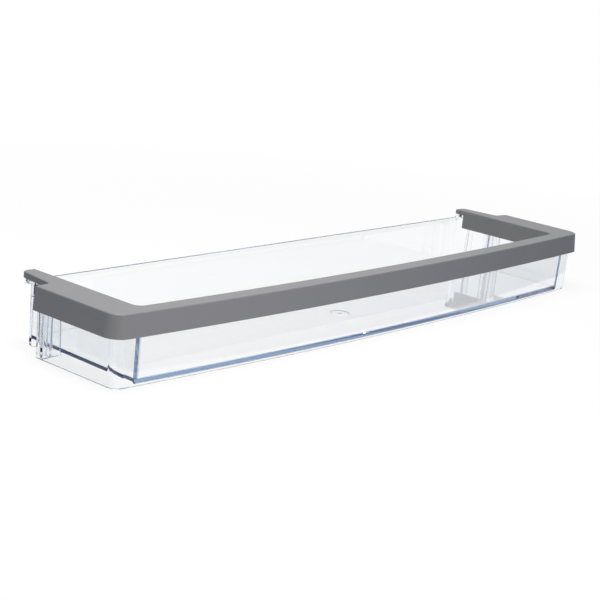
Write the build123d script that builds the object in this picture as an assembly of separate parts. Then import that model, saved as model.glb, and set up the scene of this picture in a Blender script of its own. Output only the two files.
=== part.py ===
from build123d import *
import os
from math import atan, degrees, radians, sqrt, tan

# Fridge door shelf: a clear tray with hollow sides, and a grey trim that caps its rim.
# Frame: X along the width, front at -Y, +Z up, origin under the middle, level with the tray's foot.

# Overall sizes
WIDTH = 490.0  # over the trim's top edge
DEPTH = 113.8  # from the trim's foot at mid width to the back of the tray
HEIGHT = 45.2
BOW = 8.4  # how far the front swells between its corners
DRAFT = 1.5  # degrees, of the tray's walls
FIT = 0.2  # clearance between trim and tray

# Trim
TRIM_HEIGHT = 14.3
TRIM_FLARE = 1.4  # how far the outer skirt leans out at its foot
TRIM_TOP = 1.8
TRIM_WALL = 1.4
FRONT_ARM = 11.5
SIDE_ARM = 25.0
TRIM_CORNER = 9.5
OPENING_CORNER = 5.0
TRIM_EDGE = 0.8  # rounding of the top edges
STEP_SETBACK = 33.2  # from the back to where an arm narrows
STEP_SLANT = 1.6
STEP_CORNER = 2.5
TAB_ROOT = 13.6
TAB_WIDTH = 10.2
TAB_SETBACK = 1.2
TAB_CORNER = 5.0
TAB_LIP = 3.6  # depth of the tab's edge
INNER_SKIRT_SETBACK = 9.0

# Tray shell: the front wall, the outer sides, and the returns that join them to the box
WALL = 2.0
FOOT_RIM = 1.6  # how far the shell reaches below the floor
SHELL_FRONT = 1.9  # set back from the trim's top edge, at the rim
SHELL_SIDE = 3.4
SHELL_CORNER = 7.9
FLANGE = 2.0  # closes the hollow sides at the rim
RETURN_SETBACK = 34.7  # rear end of the outer sides, from the back
RETURN_SLANT = 1.7
RETURN_CORNER = 1.2
LIP_LENGTH = 3.6

# Tray box
FLOOR = 2.2
BOX_SIDE = 18.7  # set in from the trim's top edge, at the front of the rim
BOX_TAPER = 2.5  # how much further in the sides stand at the back
BOX_CORNER = 4.0
INNER_CORNER = 1.6
SIDE_FILLET = 1.2  # where a side meets the front wall
FLOOR_FILLET = 1.2
BOX_EDGE = 1.6
SHOULDER_HEIGHT = 39.2  # side walls behind the trim's inner skirt
BACK_DROP = 0.8  # back wall below the shoulders
BEAD_RADIUS = 1.3
BEAD_INSET = 1.8
BEAD_RISE = 1.2
GATE_SETBACK = 65.0  # moulding gate, from the back
GATE_DISH = 6.5
GATE_DISH_DEPTH = 0.4
GATE_NUB = 1.2

# Recess for the door's lug, at the rear of each side: reaches are from the foot of the box's front
LUG_GAP = 10.8
POST_REACH = 5.7
POST_RADIUS = 2.4
POST_BORE = 1.2
POST_WEB = 1.6
GUIDE_REACH = 5.4
GUIDE_SETBACK = 12.7
GUIDE_WALL = 2.0
GUIDE_HEIGHT = 32.0
GUIDE_CORNER = 3.0
NECK_REACH = 4.0
CATCH_REACH = 4.7
CATCH_RISE = 1.7  # above the shoulder
CATCH_THICKNESS = 2.4
CATCH_LENGTH = 15.5
CATCH_SETBACK = 3.0
CATCH_CORNER = 3.5

# Values that follow from the sizes above
HALF = WIDTH / 2
BACK_Y = DEPTH / 2
BOW_RADIUS = (HALF**2 + BOW**2) / (2 * BOW)
BOW_CENTRE_Y = TRIM_FLARE - DEPTH / 2 + BOW_RADIUS
TRIM_FOOT = HEIGHT - TRIM_HEIGHT
RIM = HEIGHT - TRIM_TOP
TRIM_DRAFT = degrees(atan(TRIM_FLARE / TRIM_HEIGHT))
SLOPE = tan(radians(DRAFT))
LEAN = RIM * SLOPE
POCKET_HEIGHT = RIM - FLANGE
RETURN_Y = BACK_Y - RETURN_SETBACK
SHOULDER_Y = BACK_Y - INNER_SKIRT_SETBACK
BACK_HEIGHT = SHOULDER_HEIGHT - BACK_DROP
BOX_REAR_Y = BACK_Y + (RIM - SHOULDER_HEIGHT) * SLOPE
BOX_REAR_X = HALF - BOX_SIDE - BOX_TAPER
BOX_FOOT_X = HALF - BOX_SIDE - LEAN
ROOT_X = BOX_REAR_X - LEAN - WALL  # inside the box's wall, where the details outside it begin
FAR = BACK_Y + DEPTH
OUTSIDE = HALF + SIDE_ARM


def front_y(x, inset):
    """Y of a bowed line that runs behind the trim's front face at a constant distance."""
    return BOW_CENTRE_Y - sqrt((BOW_RADIUS - inset) ** 2 - x**2)


def bowed_plan(front, side, rear, radius, rear_radius=0.0, taper=0.0):
    """Outline with a bowed front, set in from the trim's top edge, with rounded corners."""
    half = HALF - side
    end = half - taper
    corner = front_y(half, front)
    nose = ThreePointArc((-half, corner), (0, front_y(0, front)), (half, corner))
    rest = FilletPolyline(
        (half, corner), (end, rear), (-end, rear), (-half, corner), radius=[rear_radius] * 2
    )
    face = make_face((nose + rest).edges())
    return fillet(face.vertices().sort_by(Axis.Y)[:2], radius) if radius else face


def shell_plan():
    """Outline of the shell's foot, with the returns that turn in to the box behind each side."""
    half = HALF - SHELL_SIDE - LEAN
    front = SHELL_FRONT + LEAN
    corner = front_y(half, front)
    nose = ThreePointArc((-half, corner), (0, front_y(0, front)), (half, corner))
    right = [(half, corner), (half, RETURN_Y), (ROOT_X, RETURN_Y + RETURN_SLANT)]
    left = [(-x, y) for x, y in reversed(right)]
    rest = FilletPolyline(*right, *left, radius=[RETURN_CORNER, 0, 0, RETURN_CORNER])
    face = make_face((nose + rest).edges())
    return fillet(face.vertices().sort_by(Axis.Y)[:2], SHELL_CORNER - LEAN)


def both_sides(solid):
    """A detail of the right-hand side and its mirror image."""
    return [solid, mirror(solid, Plane.YZ)]


def block(x0, x1, y0, y1, z0, z1):
    """Box between two corners."""
    return Pos((x0 + x1) / 2, (y0 + y1) / 2, (z0 + z1) / 2) * Box(x1 - x0, y1 - y0, z1 - z0)


def tab_cutter():
    """Plan of what is cut away outside the right arm's step and tab."""
    step_y = BACK_Y - STEP_SETBACK
    inner_x = HALF - SIDE_ARM
    root_x = inner_x + TAB_ROOT
    tab_y = BACK_Y - TAB_SETBACK
    edge = FilletPolyline(
        (OUTSIDE, step_y - STEP_SLANT * (OUTSIDE - HALF) / (HALF - root_x)),
        (root_x, step_y + STEP_SLANT),
        (inner_x + TAB_WIDTH, tab_y),
        (0, tab_y),
        radius=[STEP_CORNER, TAB_CORNER],
    )
    rest = Polyline(edge @ 1, (0, FAR), (OUTSIDE, FAR), edge @ 0)
    return make_face((edge + rest).edges())


def make_trim():
    """U-shaped cap: flat top, flared outer skirt, inner skirt, stepped arms with tabs."""
    foot = Plane.XY.offset(TRIM_FOOT)
    outer = bowed_plan(-TRIM_FLARE, -TRIM_FLARE, FAR, TRIM_CORNER + TRIM_FLARE)
    inner = bowed_plan(FRONT_ARM, SIDE_ARM, FAR + FIT, OPENING_CORNER)
    solid = extrude(foot * outer, TRIM_HEIGHT, taper=TRIM_DRAFT) - extrude(foot * inner, TRIM_HEIGHT)

    reach = TRIM_WALL - TRIM_FLARE
    channel_out = bowed_plan(reach, reach, FAR, TRIM_CORNER - reach)
    channel_in = bowed_plan(
        FRONT_ARM - TRIM_WALL, SIDE_ARM - TRIM_WALL, FAR + FIT, OPENING_CORNER + TRIM_WALL
    )
    depth = TRIM_HEIGHT - TRIM_TOP
    channel = extrude(foot * channel_out, depth, taper=TRIM_DRAFT) - extrude(foot * channel_in, depth)

    cutter = tab_cutter()
    lip_plan = offset(cutter, TRIM_WALL, kind=Kind.INTERSECTION) - cutter
    lip = extrude(Plane.XY.offset(HEIGHT - TAB_LIP) * lip_plan, TAB_LIP)
    lips = [edge & solid for edge in both_sides(lip)]
    cuts = both_sides(extrude(foot * cutter, TRIM_HEIGHT))
    skirt_end = block(-HALF, HALF, SHOULDER_Y, FAR, TRIM_FOOT, HEIGHT - TAB_LIP)
    trim = solid - channel - skirt_end + lips - cuts
    return fillet(trim.edges().filter_by_position(Axis.Z, HEIGHT, HEIGHT), TRIM_EDGE)


def drafted_box(front, side, rear, front_corner, rear_corner, foot):
    """Tapered box whose walls lean out to the sizes given at the rim, from a height up to the rim."""
    lean = (RIM - foot) * SLOPE
    low = bowed_plan(front + lean, side + lean, rear - lean, front_corner, rear_corner, BOX_TAPER)
    return extrude(Plane.XY.offset(foot) * low, RIM - foot, taper=-DRAFT)


def make_guides():
    """Hollow post, guide plate and lip at the rear of the right-hand side."""
    guide_y = BACK_Y - GUIDE_SETBACK
    post_x = BOX_FOOT_X + POST_REACH
    post_y = guide_y - GUIDE_WALL - LUG_GAP - POST_RADIUS
    web = Pos(post_x, (RETURN_Y + post_y) / 2) * Rectangle(POST_WEB, post_y - RETURN_Y)
    post_plan = Pos(post_x, post_y) * Circle(POST_RADIUS) + web - Pos(post_x, post_y) * Circle(POST_BORE)
    post = extrude(post_plan, POCKET_HEIGHT)

    guide_x = BOX_FOOT_X + GUIDE_REACH
    neck_x = BOX_FOOT_X + NECK_REACH
    neck_corner = (guide_x - neck_x) / 2
    guide_edge = FilletPolyline(
        (ROOT_X, 0),
        (guide_x, 0),
        (guide_x, GUIDE_HEIGHT),
        (neck_x, GUIDE_HEIGHT),
        (neck_x, SHOULDER_HEIGHT),
        (ROOT_X, SHOULDER_HEIGHT),
        radius=[GUIDE_CORNER, neck_corner, neck_corner, 0],
    )
    guide_face = make_face((guide_edge + Line(guide_edge @ 1, guide_edge @ 0)).edges())
    guide = extrude(Plane.XZ.offset(-guide_y) * guide_face, GUIDE_WALL)

    lip_x = HALF - SHELL_SIDE - WALL / 2
    lip_plan = SlotOverall(2 * LIP_LENGTH, WALL, rotation=90)
    lip_top = Pos(lip_x - FLANGE * SLOPE, RETURN_Y, POCKET_HEIGHT) * lip_plan
    lip = loft([Pos(lip_x - LEAN, RETURN_Y) * lip_plan, lip_top])
    return post + guide + lip


def make_catch():
    """Ledge outside the right-hand side's rear end, and the bead on the rear corner."""
    root_x = BOX_REAR_X - WALL / 2
    catch_x = BOX_FOOT_X + CATCH_REACH
    catch_y = BACK_Y - CATCH_SETBACK
    edge = FilletPolyline(
        (root_x, catch_y - CATCH_LENGTH),
        (catch_x, catch_y - CATCH_LENGTH),
        (catch_x, catch_y),
        (root_x, catch_y),
        radius=[CATCH_CORNER] * 2,
    )
    face = make_face((edge + Line(edge @ 1, edge @ 0)).edges())
    catch_level = Plane.XY.offset(SHOULDER_HEIGHT + CATCH_RISE - CATCH_THICKNESS)
    bead_foot = BACK_HEIGHT - 2 * BEAD_RADIUS
    bead_plan = Pos(BOX_REAR_X - BEAD_INSET, BACK_Y - BEAD_INSET, bead_foot) * Circle(BEAD_RADIUS)
    bead = extrude(bead_plan, SHOULDER_HEIGHT + BEAD_RISE - bead_foot)
    return extrude(catch_level * face, CATCH_THICKNESS) + bead


def make_tray():
    """Bowed shell round an open box, with a pocket at each side that is open below."""
    plan = shell_plan()
    pocket = offset(plan, -WALL, kind=Kind.INTERSECTION)
    shell = extrude(plan, RIM, taper=-DRAFT) - extrude(pocket, POCKET_HEIGHT, taper=-DRAFT)
    box = drafted_box(SHELL_FRONT + WALL / 2, BOX_SIDE, BOX_REAR_Y, 0, BOX_CORNER, FOOT_RIM)
    box = fillet(box.edges().group_by(Axis.Z)[0].sort_by(Axis.Y)[1:], BOX_EDGE)
    body = shell + box
    uprights = body.edges().filter_by(
        lambda edge: edge.length > RIM / 2 and abs(abs(edge.center().X) - BOX_FOOT_X) < WALL
    )
    body = fillet(uprights.sort_by(Axis.Y)[:2], SIDE_FILLET)

    cavity = drafted_box(
        SHELL_FRONT + WALL, BOX_SIDE + WALL, BOX_REAR_Y - WALL, INNER_CORNER, INNER_CORNER,
        FOOT_RIM + FLOOR,
    )
    cavity = fillet(cavity.edges().group_by(Axis.Z)[0], FLOOR_FILLET)
    under_x = BOX_REAR_X - LEAN
    back_x = BOX_REAR_X - WALL - BEAD_RADIUS
    lip_room = offset(tab_cutter(), TRIM_WALL + FIT, kind=Kind.INTERSECTION)
    lip_level = Plane.XY.offset(HEIGHT - TAB_LIP - FIT)
    cuts = [
        block(-under_x, under_x, RETURN_Y - WALL, RETURN_Y + RETURN_SLANT + WALL, 0, FOOT_RIM),
        block(-HALF, HALF, SHOULDER_Y, FAR, SHOULDER_HEIGHT, HEIGHT),
        block(-back_x, back_x, SHOULDER_Y, FAR, BACK_HEIGHT, HEIGHT),
        *both_sides(extrude(lip_level * lip_room, TAB_LIP)),
    ]
    tray = body + both_sides(make_guides()) - cavity - cuts + both_sides(make_catch())

    gate = Pos(0, BACK_Y - GATE_SETBACK, FOOT_RIM)
    dish = gate * extrude(Circle(GATE_DISH), GATE_DISH_DEPTH)
    nub = gate * extrude(Circle(GATE_NUB), GATE_DISH_DEPTH)
    return tray - (dish - nub)


os.makedirs("parts", exist_ok=True)
export_step(make_trim(), "parts/trim.step")
export_step(make_tray(), "parts/tray.step")
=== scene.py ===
from math import radians

import bpy
from mathutils import Matrix, Vector


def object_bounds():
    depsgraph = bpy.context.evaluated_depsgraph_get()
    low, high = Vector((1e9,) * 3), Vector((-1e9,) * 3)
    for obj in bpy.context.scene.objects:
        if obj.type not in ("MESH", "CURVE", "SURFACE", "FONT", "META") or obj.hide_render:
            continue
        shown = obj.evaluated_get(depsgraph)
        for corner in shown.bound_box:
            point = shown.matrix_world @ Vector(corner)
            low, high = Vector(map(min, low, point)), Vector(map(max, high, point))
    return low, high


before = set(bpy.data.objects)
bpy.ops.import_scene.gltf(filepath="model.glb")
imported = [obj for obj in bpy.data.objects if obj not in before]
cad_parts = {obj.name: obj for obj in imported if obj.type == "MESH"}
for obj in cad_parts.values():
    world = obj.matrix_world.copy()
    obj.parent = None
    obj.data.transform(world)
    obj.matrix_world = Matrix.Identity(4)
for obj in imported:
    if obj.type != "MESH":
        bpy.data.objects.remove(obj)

cad_low, cad_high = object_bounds()

# The photograph's viewpoint: angles in degrees, place in metres, lens and sensor in millimetres
VIEW_TURN = -49.997
VIEW_HEIGHT = 14.759
VIEW_TILT = 6.014
VIEW_PLACE = (-0.79193, -0.63642, 0.27557)
VIEW_LENS = 90.06
SENSOR_WIDTH = 36.0

# Plastics of the shelf
GREY_DARK = (0.154, 0.153, 0.161, 1.0)
GREY_LIGHT = (0.172, 0.171, 0.179, 1.0)
CLEAR_TINT = (0.996, 0.997, 1.0, 1.0)
CLEAR_MIRROR_TINT = (0.55, 0.65, 1.0, 1.0)
CLEAR_DEPTH_COLOUR = (0.136, 0.382, 0.645, 1.0)
CLEAR_DEPTH_DENSITY = 13.5
EDGE_SOFTNESS = 0.0008  # the clear plastic's edges catch light as if rounded by this much
LIGHT_BOUNCES = 256  # light runs along the clear floor plate in very many reflections

# Studio: colours, then sizes and places in metres
WHITE = (1.0, 1.0, 1.0, 1.0)
PAPER = (0.85, 0.85, 0.85, 1.0)
# painted reflection: blue-grey glow of the cards, which shows only in reflections on and inside the clear
# plastic
PAINTED_REFLECTION_COLOUR = (0.24, 0.30, 0.42, 1.0)
AMBIENT_LIGHT = 0.30
SHADOW_GAP = 0.0004  # the floor lies just under the shelf, so that the two never share a plane
FLOOR_HEIGHT = cad_low.z - SHADOW_GAP
FLOOR_SIZE = 30.0
NEAR_FLOOR = 0.25  # up to this distance from the middle the floor shows its full share of shadow
FAR_FLOOR = 0.7  # from this distance on it is plain white
NEAR_WHITENESS = 0.90  # share of plain white near the shelf, where paper in the lamps' light is the rest
SHEET_HEIGHT = cad_low.z - SHADOW_GAP / 2.0  # sheets lie between the floor and the shelf's foot
CARD_HEIGHT = 0.5


def new_material(name):
    """Material with nodes, and the lists that its nodes and links are added to."""
    material = bpy.data.materials.new(name)
    material.use_nodes = True
    return material, material.node_tree.nodes, material.node_tree.links


def spread(nodes, links, value, low, high, value_low=0.0, value_high=1.0):
    """Map a value that runs from value_low to value_high to a range from low to high."""
    node = nodes.new("ShaderNodeMapRange")
    node.inputs["From Min"].default_value = value_low
    node.inputs["From Max"].default_value = value_high
    node.inputs["To Min"].default_value = low
    node.inputs["To Max"].default_value = high
    links.new(value, node.inputs["Value"])
    return node.outputs["Result"]


def combine(nodes, links, operation, first, second):
    """One step of arithmetic on two values."""
    node = nodes.new("ShaderNodeMath")
    node.operation = operation
    links.new(first, node.inputs[0])
    links.new(second, node.inputs[1])
    return node.outputs["Value"]


def show_mix(nodes, links, share, first, second, output):
    """Show two shaders mixed, with the given share of the second."""
    mix = nodes.new("ShaderNodeMixShader")
    links.new(share, mix.inputs["Fac"])
    links.new(first, mix.inputs[1])
    links.new(second, mix.inputs[2])
    links.new(mix.outputs["Shader"], nodes[output].inputs["Surface"])


def build_moulded_surface():
    """Group: the slow ripple and the fine grain that a steel mould leaves on plastic."""
    group = bpy.data.node_groups.new("moulded_surface", "ShaderNodeTree")
    for name, value in (("Ripple Scale", 20.0), ("Grain Scale", 2000.0)):
        socket = group.interface.new_socket(name, in_out="INPUT", socket_type="NodeSocketFloat")
        socket.default_value = value
    for name in ("Ripple", "Grain"):
        group.interface.new_socket(name, in_out="OUTPUT", socket_type="NodeSocketFloat")
    nodes, links = group.nodes, group.links
    given = nodes.new("NodeGroupInput")
    result = nodes.new("NodeGroupOutput")
    place = nodes.new("ShaderNodeTexCoord")
    for name, detail in (("Ripple", 2.0), ("Grain", 3.0)):
        noise = nodes.new("ShaderNodeTexNoise")
        noise.inputs["Detail"].default_value = detail
        links.new(place.outputs["Object"], noise.inputs["Vector"])
        links.new(given.outputs[name + " Scale"], noise.inputs["Scale"])
        links.new(noise.outputs["Fac"], result.inputs[name])
    return group


moulded_surface = build_moulded_surface()


def add_moulded_surface(nodes, ripple_scale, grain_scale):
    """Place the group in a material, with that plastic's own scales."""
    surface = nodes.new("ShaderNodeGroup")
    surface.node_tree = moulded_surface
    surface.inputs["Ripple Scale"].default_value = ripple_scale
    surface.inputs["Grain Scale"].default_value = grain_scale
    return surface


def add_bump(nodes, links, height, strength, distance):
    """Bump from a height, strength as a share and distance in metres."""
    bump = nodes.new("ShaderNodeBump")
    bump.inputs["Strength"].default_value = strength
    bump.inputs["Distance"].default_value = distance
    links.new(height, bump.inputs["Height"])
    return bump


def satin_grey():
    """Grey plastic of the trim, with a fine spark-eroded grain."""
    material, nodes, links = new_material("satin_grey")
    shader = nodes["Principled BSDF"]
    shader.inputs["IOR"].default_value = 1.5
    surface = add_moulded_surface(nodes, ripple_scale=14.0, grain_scale=2600.0)
    tone = nodes.new("ShaderNodeMix")
    tone.data_type = "RGBA"
    tone.inputs["A"].default_value = GREY_DARK
    tone.inputs["B"].default_value = GREY_LIGHT
    links.new(surface.outputs["Ripple"], tone.inputs["Factor"])
    links.new(tone.outputs["Result"], shader.inputs["Base Color"])
    sheen = spread(nodes, links, surface.outputs["Grain"], low=0.36, high=0.50)
    links.new(sheen, shader.inputs["Roughness"])
    grain = add_bump(nodes, links, surface.outputs["Grain"], strength=0.12, distance=0.0001)
    links.new(grain.outputs["Normal"], shader.inputs["Normal"])
    return material


def clear_plastic():
    """Clear plastic of the tray: glossy, and blue where it is seen along a wall."""
    material, nodes, links = new_material("clear_plastic_moulding")
    shader = nodes["Principled BSDF"]
    shader.inputs["Base Color"].default_value = CLEAR_TINT
    shader.inputs["Transmission Weight"].default_value = 1.0
    shader.inputs["Specular Tint"].default_value = CLEAR_MIRROR_TINT
    shader.inputs["IOR"].default_value = 1.57
    surface = add_moulded_surface(nodes, ripple_scale=30.0, grain_scale=900.0)
    polish = spread(nodes, links, surface.outputs["Ripple"], low=0.0, high=0.01)
    links.new(polish, shader.inputs["Roughness"])
    soft_edges = nodes.new("ShaderNodeBevel")
    soft_edges.samples = 8
    soft_edges.inputs["Radius"].default_value = EDGE_SOFTNESS
    ripple = add_bump(nodes, links, surface.outputs["Ripple"], strength=0.02, distance=0.001)
    links.new(soft_edges.outputs["Normal"], ripple.inputs["Normal"])
    links.new(ripple.outputs["Normal"], shader.inputs["Normal"])
    depth = nodes.new("ShaderNodeVolumeAbsorption")
    depth.inputs["Color"].default_value = CLEAR_DEPTH_COLOUR
    depth.inputs["Density"].default_value = CLEAR_DEPTH_DENSITY
    links.new(depth.outputs["Volume"], nodes["Material Output"].inputs["Volume"])
    return material


def background_rays(nodes, links):
    """1 for rays from the camera, a mirror or clear plastic, 0 for light that the object scatters."""
    path = nodes.new("ShaderNodeLightPath")
    seen = combine(nodes, links, "MAXIMUM", path.outputs["Is Camera Ray"], path.outputs["Is Glossy Ray"])
    return combine(nodes, links, "MAXIMUM", seen, path.outputs["Is Transmission Ray"])


def light_world():
    """White studio all round, which lights the object at a plainer level than it shows."""
    world = bpy.data.worlds.new("white_studio")
    world.use_nodes = True
    bpy.context.scene.world = world
    nodes, links = world.node_tree.nodes, world.node_tree.links
    ambient = nodes["Background"]
    ambient.inputs["Color"].default_value = WHITE
    ambient.inputs["Strength"].default_value = AMBIENT_LIGHT
    white = nodes.new("ShaderNodeBackground")
    white.inputs["Color"].default_value = WHITE
    white.inputs["Strength"].default_value = 1.0
    show_mix(nodes, links, background_rays(nodes, links),
             ambient.outputs["Background"], white.outputs["Background"], "World Output")


def white_sheet():
    """White paper that shows a faint shadow near the shelf and is plain white farther away."""
    material, nodes, links = new_material("white_sheet")
    paper = nodes["Principled BSDF"]
    paper.inputs["Base Color"].default_value = PAPER
    paper.inputs["Roughness"].default_value = 0.9
    glow = nodes.new("ShaderNodeEmission")
    glow.inputs["Strength"].default_value = 1.0
    place = nodes.new("ShaderNodeTexCoord")
    distance = nodes.new("ShaderNodeVectorMath")
    distance.operation = "LENGTH"
    links.new(place.outputs["Object"], distance.inputs[0])
    whiteness = spread(nodes, links, distance.outputs["Value"], NEAR_WHITENESS, 1.0, NEAR_FLOOR, FAR_FLOOR)
    share = combine(nodes, links, "MULTIPLY", background_rays(nodes, links), whiteness)
    show_mix(nodes, links, share, paper.outputs["BSDF"], glow.outputs["Emission"], "Material Output")
    return material


def painted_reflection_card():
    """Painted reflection: blue-grey glow that shows only after a reflection, and is clear to a ray that
    comes straight.
    """
    material, nodes, links = new_material("painted_reflection_card")
    tone = nodes.new("ShaderNodeEmission")
    tone.inputs["Color"].default_value = PAINTED_REFLECTION_COLOUR
    path = nodes.new("ShaderNodeLightPath")
    reflected = nodes.new("ShaderNodeMath")
    reflected.operation = "GREATER_THAN"
    reflected.inputs[1].default_value = 0.5
    links.new(path.outputs["Glossy Depth"], reflected.inputs[0])
    clear = nodes.new("ShaderNodeBsdfTransparent")
    show_mix(nodes, links, reflected.outputs["Value"],
             clear.outputs["BSDF"], tone.outputs["Emission"], "Material Output")
    return material


def add_plane(name, material, size, place, turn=(0.0, 0.0, 0.0)):
    """Flat square of the studio."""
    bpy.ops.object.select_all(action="DESELECT")
    bpy.ops.mesh.primitive_plane_add(size=size, location=place, rotation=turn)
    plane = bpy.context.object
    plane.name = name
    plane.data.materials.append(material)
    return plane


def add_floor():
    """White floor just under the shelf."""
    floor = add_plane("studio_floor", white_sheet(), FLOOR_SIZE, (0.0, 0.0, FLOOR_HEIGHT))


def add_card(name, face, place, turn, length, width):
    """Card out of the picture that carries the painted reflection, seen only in reflections, also those
    inside the plastic.
    """
    card = add_plane(name, face, 1.0, place, turn)
    card.scale = (length, width, 1.0)
    card.visible_camera = False
    card.visible_diffuse = False
    card.visible_shadow = False


def add_cards():
    """Cards that stand behind the shelf and on its right, sheets that lie before it and on its left, all
    showing the painted reflection.
    """
    face = painted_reflection_card()
    for name, x, y, turn, length in (
        ("left_card", -0.105, 0.405, 53.5, 0.86),
        ("right_card", 0.485, -0.09, 27.5, 0.82),
    ):
        upright = (radians(90.0), 0.0, radians(turn))
        add_card(name, face, (x, y, CARD_HEIGHT / 2.0), upright, length, CARD_HEIGHT)
    for name, x, y, length, width in (
        ("front_sheet", 0.05, -0.49, 1.9, 0.85),
        ("left_sheet", -0.57, 0.30, 0.661, 0.69),
    ):
        add_card(name, face, (x, y, SHEET_HEIGHT), (0.0, 0.0, 0.0), length, width)


def add_softbox(name, place, aim, width, length, power):
    """Large soft lamp that looks at a point."""
    bpy.ops.object.light_add(type="AREA", location=place)
    lamp = bpy.context.object
    lamp.name = name
    lamp.data.shape = "RECTANGLE"
    lamp.data.size = width
    lamp.data.size_y = length
    lamp.data.energy = power
    lamp.rotation_mode = "QUATERNION"
    lamp.rotation_quaternion = (Vector(aim) - Vector(place)).to_track_quat("-Z", "Y")


def add_camera():
    """Camera at the photograph's viewpoint."""
    bpy.ops.object.camera_add()
    camera = bpy.context.object
    camera.name = "photo_view"
    turn = Matrix.Rotation(radians(VIEW_TURN), 4, "Z")
    height = Matrix.Rotation(radians(90.0 - VIEW_HEIGHT), 4, "X")
    tilt = Matrix.Rotation(radians(VIEW_TILT), 4, "Z")
    camera.matrix_world = Matrix.Translation(VIEW_PLACE) @ turn @ height @ tilt
    camera.data.lens = VIEW_LENS
    camera.data.sensor_width = SENSOR_WIDTH
    camera.data.clip_start = 0.05
    camera.data.clip_end = 2.0 * FLOOR_SIZE
    bpy.context.scene.camera = camera


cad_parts["trim"].material_slots[0].material = satin_grey()
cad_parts["tray"].material_slots[0].material = clear_plastic()

light_world()
add_floor()
add_cards()
add_softbox("overhead_softbox", place=(-0.2, 0.0, 0.85), aim=(-0.1, 0.0, 0.0),
            width=0.5, length=0.4, power=7.0)
add_softbox("front_softbox", place=(-0.25, -0.55, 0.35), aim=(-0.2, 0.0, 0.0),
            width=0.3, length=0.3, power=2.0)
add_camera()

scene = bpy.context.scene
scene.view_settings.view_transform = "Standard"
scene.cycles.max_bounces = LIGHT_BOUNCES
scene.cycles.glossy_bounces = LIGHT_BOUNCES
scene.cycles.transmission_bounces = LIGHT_BOUNCES
